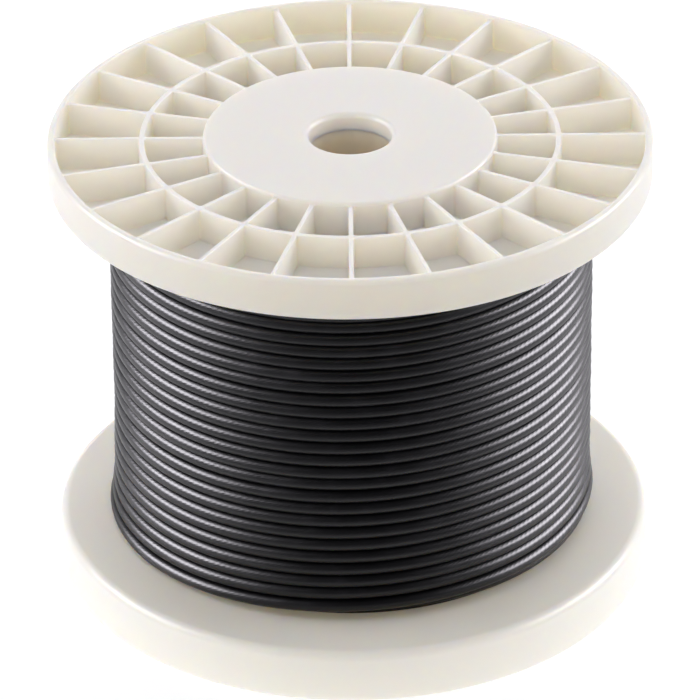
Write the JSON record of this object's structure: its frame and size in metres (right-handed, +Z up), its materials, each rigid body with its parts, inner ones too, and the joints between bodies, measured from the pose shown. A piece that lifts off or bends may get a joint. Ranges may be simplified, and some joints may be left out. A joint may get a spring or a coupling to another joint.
{
  "type": "wire spool",
  "caption": "Round moulded plastic spool with open ribbed flanges and a through bore, wound in neat turns with black insulated wire.",
  "frame": {"origin": "centre of the lower flange's open face, on the spool's axis, where the spool stands on the floor", "axes": "+Z up along the bore, +X to the right and -Y towards the viewer of the picture"},
  "size_m": [0.16, 0.16, 0.127],
  "materials": {
    "ivory_plastic": "satin moulded",
    "black_insulation": "satin, with the strands showing through faintly"
  },
  "bodies": {
    "root": {"upper_flange": "ivory_plastic", "lower_flange": "ivory_plastic", "barrel": "ivory_plastic", "arbor_tube": "ivory_plastic", "inner_winding": "black_insulation", "outer_winding": "black_insulation"}
  },
  "joints": []
}
